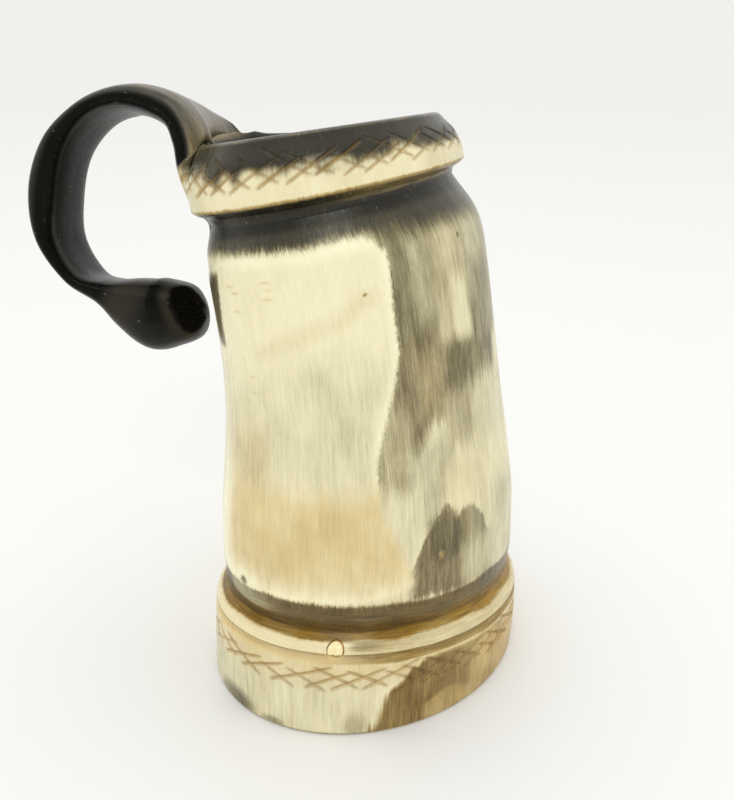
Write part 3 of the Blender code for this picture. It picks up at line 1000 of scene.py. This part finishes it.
def paint_horn(target):
    """Gives the horn its attributes: pigment, warmth, cuts and the coordinates of its grain."""
    points = points_of(target)
    station, angle, width, beyond = horn_coordinates(points)
    pigment, warmth = painted(station, angle)
    inner = past(half_width(OUTER_STRETCHES, station) - width, 1.2, 0.8) * (station > 0.3)
    inside = 0.25 + 0.45 * past(station, 70.0, 60.0) + 0.15 * (pigment - 0.3)
    pigment, warmth = mix(pigment, inside, inner), mix(warmth, 0.35, inner)
    pigment, warmth = paint_crease(points, beyond, pigment, warmth)
    cuts, stain_and_shade = all_cuts(angle, station) * (1.0 - inner)
    around = np.radians(angle)
    grain = np.stack((GRAIN_REACH * np.cos(around), GRAIN_REACH * np.sin(around), station), 1)

    on_handle = handle_share(points, station, beyond)
    near = np.flatnonzero(on_handle > 0.0)
    on = on_handle[near]
    dark, warm, strip = handle_finish(points[near])
    pigment[near] = mix(pigment[near], dark, on)
    warmth[near] = mix(warmth[near], warm, on)
    cuts[near] *= 1.0 - on
    stain_and_shade[near] *= 1.0 - on
    grain[near] = np.where(on[:, None] > 0.5, strip, grain[near])

    off_handle = 1.0 - on_handle
    turned = within(station, 17.6, 0.6, 33.0, 3.0)
    turned = np.maximum(turned, within(station, 132.8, 0.8, 137.0, 0.6)) * off_handle
    brushed = off_handle * (1.0 - inner) * within(station, 32.8, 1.2, 132.0, 3.0)
    slopes = pigment_slopes(station, angle) * brushed[:, None]
    found = {"pigment": pigment, "warmth": warmth, "cuts": cuts, "stain_and_shade": stain_and_shade, "grain": grain}
    found |= {"turned": turned, "handle": on_handle, "slopes": slopes}
    for name, values in found.items():
        add_attribute(target, name, values)


# ---- materials


def srgb(red, green, blue):
    """A linear colour from the 0 to 255 values that a screen shows."""
    channels = [value / 255.0 for value in (red, green, blue)]
    linear = [c / 12.92 if c <= 0.04045 else ((c + 0.055) / 1.055) ** 2.4 for c in channels]
    return (*linear, 1.0)


class Nodes:
    """A material's or a world's nodes, made by short calls. A socket or a plain value goes
    into any input."""

    def __init__(self, owner):
        owner.use_nodes = True
        self.owner = owner
        self.tree = owner.node_tree

    def feed(self, node, inputs):
        for key, value in inputs.items():
            if isinstance(value, bpy.types.NodeSocket):
                self.tree.links.new(value, node.inputs[key])
            else:
                node.inputs[key].default_value = value
        return node

    def add(self, kind, output, inputs, **settings):
        """The named output of a new node."""
        node = self.tree.nodes.new("ShaderNode" + kind)
        for key, value in settings.items():
            setattr(node, key, value)
        return self.feed(node, inputs).outputs[output]

    def surface(self, **inputs):
        shader = self.tree.nodes["Principled BSDF"]
        self.feed(shader, {key.replace("_", " "): value for key, value in inputs.items()})

    def translucent(self, share, tint, depth):
        self.surface(Subsurface_Weight=share, Subsurface_Radius=tint, Subsurface_Scale=depth * MM)

    def attribute(self, name, output="Fac"):
        return self.add("Attribute", output, {}, attribute_name=name)

    def math(self, operation, first, second, clamp=False):
        return self.add("Math", 0, {0: first, 1: second}, operation=operation, use_clamp=clamp)

    def plus(self, first, second, clamp=False):
        return self.math("ADD", first, second, clamp)

    def minus(self, first, second):
        return self.math("SUBTRACT", first, second)

    def times(self, first, second, clamp=False):
        return self.math("MULTIPLY", first, second, clamp)

    def swing(self, noise, size):
        """A noise about zero, so that it adds as often as it takes away."""
        return self.times(self.minus(noise, 0.5), size)

    def object_place(self):
        """The point in millimetres."""
        return self.scaled(self.add("TexCoord", "Object", {}), 1.0 / MM, 1.0 / MM, 1.0 / MM)

    def scaled(self, vector, x, y, z):
        return self.add("VectorMath", 0, {0: vector, 1: (x, y, z)}, operation="MULTIPLY")

    def part(self, vector, letter):
        return self.add("SeparateXYZ", letter, {0: vector})

    def noise(self, vector, scale, detail=4.0, roughness=0.55):
        inputs = {"Vector": vector, "Scale": scale, "Detail": detail, "Roughness": roughness}
        return self.add("TexNoise", "Fac", inputs)

    def cells(self, vector, scale):
        return self.add("TexVoronoi", "Distance", {"Vector": vector, "Scale": scale})

    def between(self, value, low, high, low_to=0.0, high_to=1.0):
        """The value's place between low and high, clamped, with soft ends."""
        inputs = {0: value, 1: low, 2: high, 3: low_to, 4: high_to}
        return self.add("MapRange", 0, inputs, interpolation_type="SMOOTHSTEP")

    def blend(self, share, first, second, kind="MIX"):
        return self.add("MixRGB", 0, {0: share, 1: first, 2: second}, blend_type=kind)

    def tinted(self, share, colour, tint):
        """The colour multiplied by a tint, as far as the share says."""
        return self.blend(share, colour, self.blend(1.0, colour, tint, "MULTIPLY"))

    def ramp(self, value, stops):
        node = self.tree.nodes.new("ShaderNodeValToRGB")
        elements = node.color_ramp.elements
        while len(elements) < len(stops):
            elements.new(0.5)
        for element, (place, colour) in zip(elements, stops):
            element.position = place
            element.color = colour
        return self.feed(node, {0: value}).outputs["Color"]

    def bump(self, height, strength, distance, normal=None):
        inputs = {"Height": height, "Strength": strength, "Distance": distance * MM}
        if normal is not None:
            inputs["Normal"] = normal
        return self.add("Bump", "Normal", inputs)


HORN_COLOURS = (
    (0.0, srgb(253, 247, 210)),
    (0.2, srgb(224, 217, 178)),
    (0.4, srgb(175, 167, 130)),
    (0.6, srgb(122, 112, 79)),
    (0.8, srgb(64, 60, 46)),
    (1.0, srgb(6, 6, 4)),
)
GREYS = (
    (0.4, srgb(172, 162, 142)),
    (0.7, srgb(104, 101, 95)),
    (0.85, srgb(54, 53, 50)),
    (1.0, srgb(5, 5, 4)),
)
AMBER = srgb(234, 191, 93)
CUT_COLOUR = srgb(228, 208, 160)
CUT_EDGE = srgb(166, 136, 84)
# The tint of the strokes' stains and of the painted shade on their upper sides.
STAIN_AND_SHADE = srgb(178, 140, 80)
DUST = srgb(176, 172, 150)
SCUFF = srgb(214, 210, 186)
WOOD_COLOURS = ((0.25, srgb(134, 98, 60)), (0.5, srgb(166, 127, 82)), (0.75, srgb(184, 148, 102)))
WAX_COLOURS = ((0.3, srgb(126, 88, 40)), (0.55, srgb(168, 126, 66)), (0.8, srgb(196, 160, 100)))
BONE_COLOURS = ((0.3, srgb(248, 226, 160)), (0.7, srgb(255, 246, 200)))


def brushed_pigment(n, grain):
    """The horn's pigment, carried up and round by fine fibres, so its edges look brushed."""
    fuzz = n.noise(n.scaled(grain, 1.0, 1.0, 0.2), 2.4, 6.0, 0.75)
    fuzz_round = n.noise(n.scaled(grain, 1.0, 1.0, 0.5), 1.7, 4.0, 0.7)
    slopes = n.attribute("slopes", "Vector")
    carried_up = n.times(n.part(slopes, "Y"), n.swing(fuzz, 5.0))
    carried_round = n.times(n.part(slopes, "X"), n.swing(fuzz_round, 4.5))
    return n.plus(n.attribute("pigment"), n.plus(carried_up, carried_round), clamp=True)


def cut_colour(n, colour, pigment, cuts, speckle):
    """The strokes' dark edges, the paler horn bared at their bottoms, and their stains, with
    painted shade along their upper sides.
    """
    cut_edge = n.times(n.between(cuts, 0.0, 0.12), n.between(cuts, 0.2, 0.5, 0.25, 0.0))
    colour = n.tinted(cut_edge, colour, CUT_EDGE)
    bottom = n.between(n.plus(cuts, n.times(speckle, 0.4)), 0.4, 1.1, 0.0, 0.7)
    bared = n.blend(1.0, CUT_COLOUR, n.ramp(n.times(pigment, 0.55), HORN_COLOURS), "MULTIPLY")
    colour = n.blend(bottom, colour, bared)
    stain_and_shade_share = n.times(n.attribute("stain_and_shade"), n.between(speckle, 0.3, 0.7, 0.7, 1.1), clamp=True)
    return n.tinted(stain_and_shade_share, colour, STAIN_AND_SHADE)


def scuff_share(n, grain, pigment, plain):
    """Pale scuffs along the fibres, where the scraper left half-dark horn bruised."""
    scuffs = n.between(n.noise(n.scaled(grain, 1.0, 1.0, 0.22), 3.2, 3.0, 0.7), 0.56, 0.72)
    scuffs = n.times(scuffs, n.between(n.noise(grain, 0.09, 4.0, 0.6), 0.42, 0.66, 0.05, 0.4))
    scuffs = n.times(scuffs, n.between(pigment, 0.12, 0.4))
    scuffs = n.times(scuffs, n.between(pigment, 0.65, 0.9, 1.0, 0.3))
    return n.times(scuffs, n.between(plain, 0.0, 1.0, 1.0, 0.25))


def horn_material():
    """Polished horn: streaks along its fibres, level rings where it was turned, warm stains,
    cut strokes, dust in its pores and scuffs."""
    n = Nodes(bpy.data.materials.new("horn"))
    grain = n.attribute("grain", "Vector")
    warmth, turned = n.attribute("warmth"), n.attribute("turned")
    cuts, handle = n.attribute("cuts"), n.attribute("handle")
    streaks = n.noise(n.scaled(grain, 1.0, 1.0, 0.06), 0.9, 5.0, 0.6)
    hairs = n.noise(n.scaled(grain, 1.0, 1.0, 0.05), 3.0, 5.0, 0.7)
    clouds = n.noise(n.scaled(grain, 1.0, 1.0, 0.6), 0.11, 4.0)
    rings = n.noise(n.scaled(grain, 0.06, 0.06, 1.0), 1.8, 5.0, 0.65)
    scratches = n.noise(n.scaled(grain, 1.0, 1.0, 0.15), 9.0, 2.0, 0.8)
    speckle = n.noise(grain, 6.0, 3.0, 0.7)
    pigment = brushed_pigment(n, grain)

    # Streaks show most in half-dark horn, and hardly at all in the blackest.
    size = n.plus(n.times(n.times(pigment, n.minus(1.0, pigment)), 1.25), 0.08)
    held_back = n.plus(n.between(pigment, 0.66, 0.9, 1.0, 0.3), n.times(turned, 0.5), clamp=True)
    upright = n.plus(n.plus(n.swing(streaks, 0.9), n.swing(hairs, 1.2)), n.swing(clouds, 1.1))
    variation = n.times(n.blend(turned, upright, n.swing(rings, 1.7)), n.times(size, held_back))
    streaked = n.plus(pigment, variation, clamp=True)
    greyed = n.times(handle, n.between(warmth, 0.1, 0.6, 0.8, 0.1))
    colour = n.blend(greyed, n.ramp(streaked, HORN_COLOURS), n.ramp(streaked, GREYS))
    warm = n.times(warmth, n.between(clouds, 0.3, 0.7, 0.8, 1.05), clamp=True)
    colour = cut_colour(n, n.tinted(warm, colour, AMBER), pigment, cuts, speckle)

    specks = n.between(n.cells(n.scaled(grain, 1.0, 1.0, 0.3), 1.1), 0.1, 0.2, 1.0, 0.0)
    sparse = n.between(n.noise(grain, 0.35, 3.0, 0.7), 0.54, 0.7)
    dust = n.times(n.times(specks, sparse), n.between(pigment, 0.55, 0.8, 0.0, 0.55))
    colour = n.blend(dust, colour, DUST)
    colour = n.blend(scuff_share(n, grain, pigment, n.plus(handle, turned)), colour, SCUFF)
    roughness = n.plus(n.plus(n.times(streaks, 0.16), 0.2), n.times(cuts, 0.25))
    normal = n.bump(n.blend(turned, hairs, rings), 0.35, 0.12)
    normal = n.bump(clouds, 0.25, 1.2, n.bump(scratches, 0.18, 0.05, normal))
    shine = n.minus(n.between(pigment, 0.3, 1.0, 0.5, 0.36), n.times(handle, 0.27))
    shine = n.minus(shine, n.times(warmth, n.minus(0.25, n.times(handle, 0.25))))
    n.surface(Base_Color=colour, Roughness=n.plus(roughness, n.times(dust, 0.3)), Normal=normal)
    n.surface(Specular_IOR_Level=shine, Specular_Tint=(1.0, 0.98, 0.88, 1.0), IOR=1.5)
    n.translucent(n.between(pigment, 0.0, 0.7, 0.2, 0.02), (1.0, 0.72, 0.4), 2.5)
    return n.owner


def wood_material():
    """Oiled birch end faces: fine straight grain, faint growth bands and dark pores."""
    n = Nodes(bpy.data.materials.new("disc_wood"))
    place = n.object_place()
    bands = n.noise(n.scaled(place, 0.06, 1.0, 1.0), 0.45, 3.0, 0.5)
    fibre = n.noise(n.scaled(place, 0.05, 1.0, 1.0), 3.2, 5.0, 0.6)
    pores = n.between(n.noise(n.scaled(place, 0.08, 1.0, 1.0), 7.0, 2.0), 0.62, 0.7)
    colour = n.ramp(bands, WOOD_COLOURS)
    colour = n.blend(n.between(fibre, 0.35, 0.7, 0.0, 0.45), colour, srgb(120, 84, 48))
    colour = n.blend(n.times(pores, 0.5), colour, srgb(74, 50, 30))
    normal = n.bump(pores, -0.3, 0.1, n.bump(fibre, 0.4, 0.1))
    n.surface(Base_Color=colour, Roughness=n.plus(n.times(fibre, 0.25), 0.45), Normal=normal)
    return n.owner


def wax_material():
    """Old beeswax and resin: cloudy amber, dull where it was rubbed."""
    n = Nodes(bpy.data.materials.new("wax"))
    place = n.object_place()
    clouds = n.noise(place, 0.35, 4.0)
    grains = n.noise(place, 3.0, 4.0, 0.7)
    colour = n.ramp(clouds, WAX_COLOURS)
    colour = n.blend(n.between(grains, 0.6, 0.75, 0.0, 0.5), colour, srgb(86, 60, 34))
    roughness = n.between(clouds, 0.3, 0.7, 0.3, 0.6)
    normal = n.bump(clouds, 0.4, 0.5, n.bump(grains, 0.3, 0.1))
    n.surface(Base_Color=colour, Roughness=roughness, Normal=normal, IOR=1.44)
    n.translucent(0.25, (1.0, 0.6, 0.25), 2.0)
    return n.owner


def peg_material():
    """Pale bone, end grain showing: dark pores and an amber edge, painted shade where the peg
    meets the gap round it.
    """
    n = Nodes(bpy.data.materials.new("peg"))
    place = n.object_place()
    clouds = n.noise(place, 0.9, 4.0)
    pores = n.between(n.cells(place, 5.0), 0.0, 0.16, 1.0, 0.0)
    colour = n.ramp(clouds, BONE_COLOURS)
    colour = n.blend(n.times(pores, 0.25), colour, srgb(170, 130, 74))
    # The amber edge is painted shade where the peg meets the gap round it.
    colour = n.blend(n.times(n.attribute("rim"), 0.85), colour, srgb(196, 136, 56))
    roughness = n.between(clouds, 0.3, 0.7, 0.25, 0.42)
    n.surface(Base_Color=colour, Roughness=roughness, Normal=n.bump(pores, -0.2, 0.05), IOR=1.53)
    n.translucent(0.15, (1.0, 0.7, 0.4), 1.5)
    return n.owner


def finish_piece(piece, node, material):
    piece.data.materials.clear()
    piece.data.materials.append(material)
    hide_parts(node)
    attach(piece, "root")


def horn():
    made = make_horn()
    paint_horn(made)
    finish_piece(made, "horn_body", horn_material())


# ---- base

# The search for the skin starts this far beyond the seat, and closes in by a share of the rest.
SKIN_SEARCH_START = 4.0
SKIN_SEARCH_SHARE = 0.9
SKIN_SEARCH_PASSES = 12


def to_skin(angle, radius, turn):
    """How far along a peg's line each point of a circle round it meets the horn's skin."""
    origin, direction = peg_line(angle)
    offset = radius * peg_circle(direction, turn)
    reach = np.full(len(turn), seat_reach(angle) + SKIN_SEARCH_START)
    for _ in range(SKIN_SEARCH_PASSES):
        beyond = horn_coordinates(origin + offset + reach[:, None] * direction)[3]
        reach -= SKIN_SEARCH_SHARE * beyond
    return reach, offset


PEG_AROUND = 72
PEG_CHAMFER = 0.18
PEG_CROWN = 0.12
PEG_FACE_RADII = (PEG_RADIUS - 0.02, 1.98, 1.8, 1.5, 1.1, 0.7, 0.3)
# The peg's inner end narrows to a share of its radius over a short length.
PEG_TIP_SHARE = 0.9
PEG_TIP_LENGTH = 0.4
PEG_RIM_FADE = 0.35


def peg(node, angle, material):
    """A peg whose outer face follows the horn's skin, slightly crowned, with an eased edge."""
    origin, direction = peg_line(angle)
    turn = full_turn(PEG_AROUND)
    inner = seat_reach(angle) - PEG_DEPTH_IN_DISC
    edge_reach, edge_offset = to_skin(angle, PEG_RADIUS, turn)
    shaft = edge_offset + origin
    rings = [origin + PEG_TIP_SHARE * edge_offset + inner * direction]
    rings.append(shaft + (inner + PEG_TIP_LENGTH) * direction)
    rings.append(shaft + (edge_reach - PEG_CHAMFER)[:, None] * direction)
    for radius in PEG_FACE_RADII:
        reach, offset = to_skin(angle, radius, turn)
        crown = PEG_CROWN * (1.0 - (radius / PEG_RADIUS) ** 2)
        rings.append(origin + offset + (reach + crown)[:, None] * direction)
    made = loft(f"{node}_turned", np.array(rings))
    # The edge rings take the amber of painted shade where the peg meets the gap round it.
    rim = np.zeros(len(made.data.vertices))
    rim[PEG_AROUND : 4 * PEG_AROUND] = 1.0
    rim[4 * PEG_AROUND : 5 * PEG_AROUND] = PEG_RIM_FADE
    add_attribute(made, "rim", rim)
    finish_piece(made, node, material)


# The disc's rounded rim: stations in from its two faces, and the half-width taken off there.
# Its faces have two more rings, this far inside its side.
DISC_EDGE = ((0.0, 0.9), (0.1, 0.45), (0.35, 0.12), (0.8, 0.0))
DISC_FACE_CUTS = (10.0, 4.0)
FINE_AROUND = 360


def level_ring(station, width, turn):
    return ring_points(np.full(len(turn), station), width, turn)


def base_disc():
    """The disc, with eased rims and the pegs' holes."""
    turn = full_turn(FINE_AROUND)
    profile = [(DISC_BOTTOM, cut) for cut in DISC_FACE_CUTS]
    profile += [(DISC_BOTTOM + rise, cut) for rise, cut in DISC_EDGE]
    profile += [(DISC_TOP - rise, cut) for rise, cut in reversed(DISC_EDGE)]
    profile += [(DISC_TOP, cut) for cut in reversed(DISC_FACE_CUTS)]
    rings = [level_ring(at, bore_width(at) - GAP - cut, turn) for at, cut in profile]
    made = loft("base_disc_turned", np.array(rings))
    drill_peg_holes(made)
    finish_piece(made, "base_disc", wood_material())


SEAL_LEG = 2.6
SEAL_THINNEST = 0.35
SEAL_STEPS = 9
SEAL_SLACK = 0.05


def base_seal():
    """The bead in the corner over the disc: a hollow face, run in by hand so its edge wanders."""
    turn = full_turn(FINE_AROUND)
    angle = np.degrees(turn)
    low = DISC_TOP + GAP
    high = low + SEAL_LEG
    wander = 0.5 * (lattice(angle, np.zeros_like(angle), 14.0, 30.0, 41) - 0.5)
    top = bore_width(high) - GAP - SEAL_SLACK
    rings = [level_ring(low, bore_width(low) - GAP - SEAL_SLACK, turn), level_ring(high, top, turn)]
    for quarter in np.arange(SEAL_STEPS + 1) / SEAL_STEPS * math.pi / 2:
        inward = SEAL_THINNEST + (SEAL_LEG + wander - SEAL_THINNEST) * (1.0 - math.cos(quarter))
        rings.append(level_ring(high - (high - low) * math.sin(quarter), top - inward, turn))
    made = loft("base_seal_poured", np.array(rings), closed_round=True)
    finish_piece(made, "base_seal", wax_material())


# ---- stage

CAMERA_PLACE = (53.45, -207.43, 180.79)
CAMERA_HEADING = 8.0
CAMERA_PITCH = 25.81
CAMERA_LENS = 37.633


def camera():
    data = bpy.data.cameras.new("camera")
    data.sensor_width = 36.0
    data.sensor_fit = "AUTO"
    data.lens = CAMERA_LENS
    data.clip_start = 0.01
    data.clip_end = 400.0
    made = place_in_scene("camera", data, Vector(CAMERA_PLACE) * MM)
    made.rotation_euler = (math.radians(90.0 - CAMERA_PITCH), 0.0, math.radians(CAMERA_HEADING))
    bpy.context.scene.camera = made


FLOOR_HALF = 90.0
FLOOR_DROP = 0.0002


def floor():
    data = bpy.data.meshes.new("floor")
    corners = [(x * FLOOR_HALF, y * FLOOR_HALF, 0.0) for x, y in ((-1, -1), (1, -1), (1, 1), (-1, 1))]
    data.from_pydata(corners, [], [(0, 1, 2, 3)])
    n = Nodes(bpy.data.materials.new("floor"))
    paper = n.noise(n.add("TexCoord", "Object", {}), 900.0, 3.0)
    n.surface(Base_Color=srgb(240, 240, 238), Roughness=0.7, Normal=n.bump(paper, 0.1, 0.1))
    data.materials.append(n.owner)
    place_in_scene("floor", data, (0.0, 0.0, -FLOOR_DROP))


def light(name, place, aim, size, power):
    data = bpy.data.lights.new(name, "AREA")
    data.shape = "RECTANGLE"
    data.size, data.size_y = size
    data.energy = power
    made = place_in_scene(name, data, place)
    made.rotation_euler = (Vector(aim) - Vector(place)).to_track_quat("-Z", "Y").to_euler()


BACKDROP = 0.86
TENT_DIM = 0.52
TENT_BRIGHT = 1.15


def studio():
    """A white tent: bright behind and above, and dimmer on the camera's side. Straight from
    the camera it shows one even tone, close to the floor's."""
    n = Nodes(bpy.data.worlds.new("studio"))
    behind = {"Value": n.part(n.add("TexCoord", "Generated", {}), "Y"), "From Min": -1.0, "From Max": 0.3}
    tent = n.add("MapRange", 0, {**behind, "To Min": TENT_DIM, "To Max": TENT_BRIGHT})
    straight = n.add("LightPath", "Is Camera Ray", {})
    strength = n.add("Mix", "Result", {"Factor": straight, "A": tent, "B": BACKDROP})
    n.feed(n.tree.nodes["Background"], {"Color": (1.0, 1.0, 0.99, 1.0), "Strength": strength})
    bpy.context.scene.world = n.owner
    light("overhead", (-0.15, 0.1, 1.0), (0.0, 0.0, 0.06), (0.7, 0.5), 0.8)
    light("window", (0.1, -0.85, 0.9), (0.0, 0.0, 0.07), (0.4, 0.4), 2.7)
    bpy.context.scene.view_settings.view_transform = "Standard"


# ---- the scene

horn()
peg_finish = peg_material()
for node, angle in PEG_ANGLES.items():
    peg(node, angle, peg_finish)
base_disc()
base_seal()
floor()
studio()
camera()
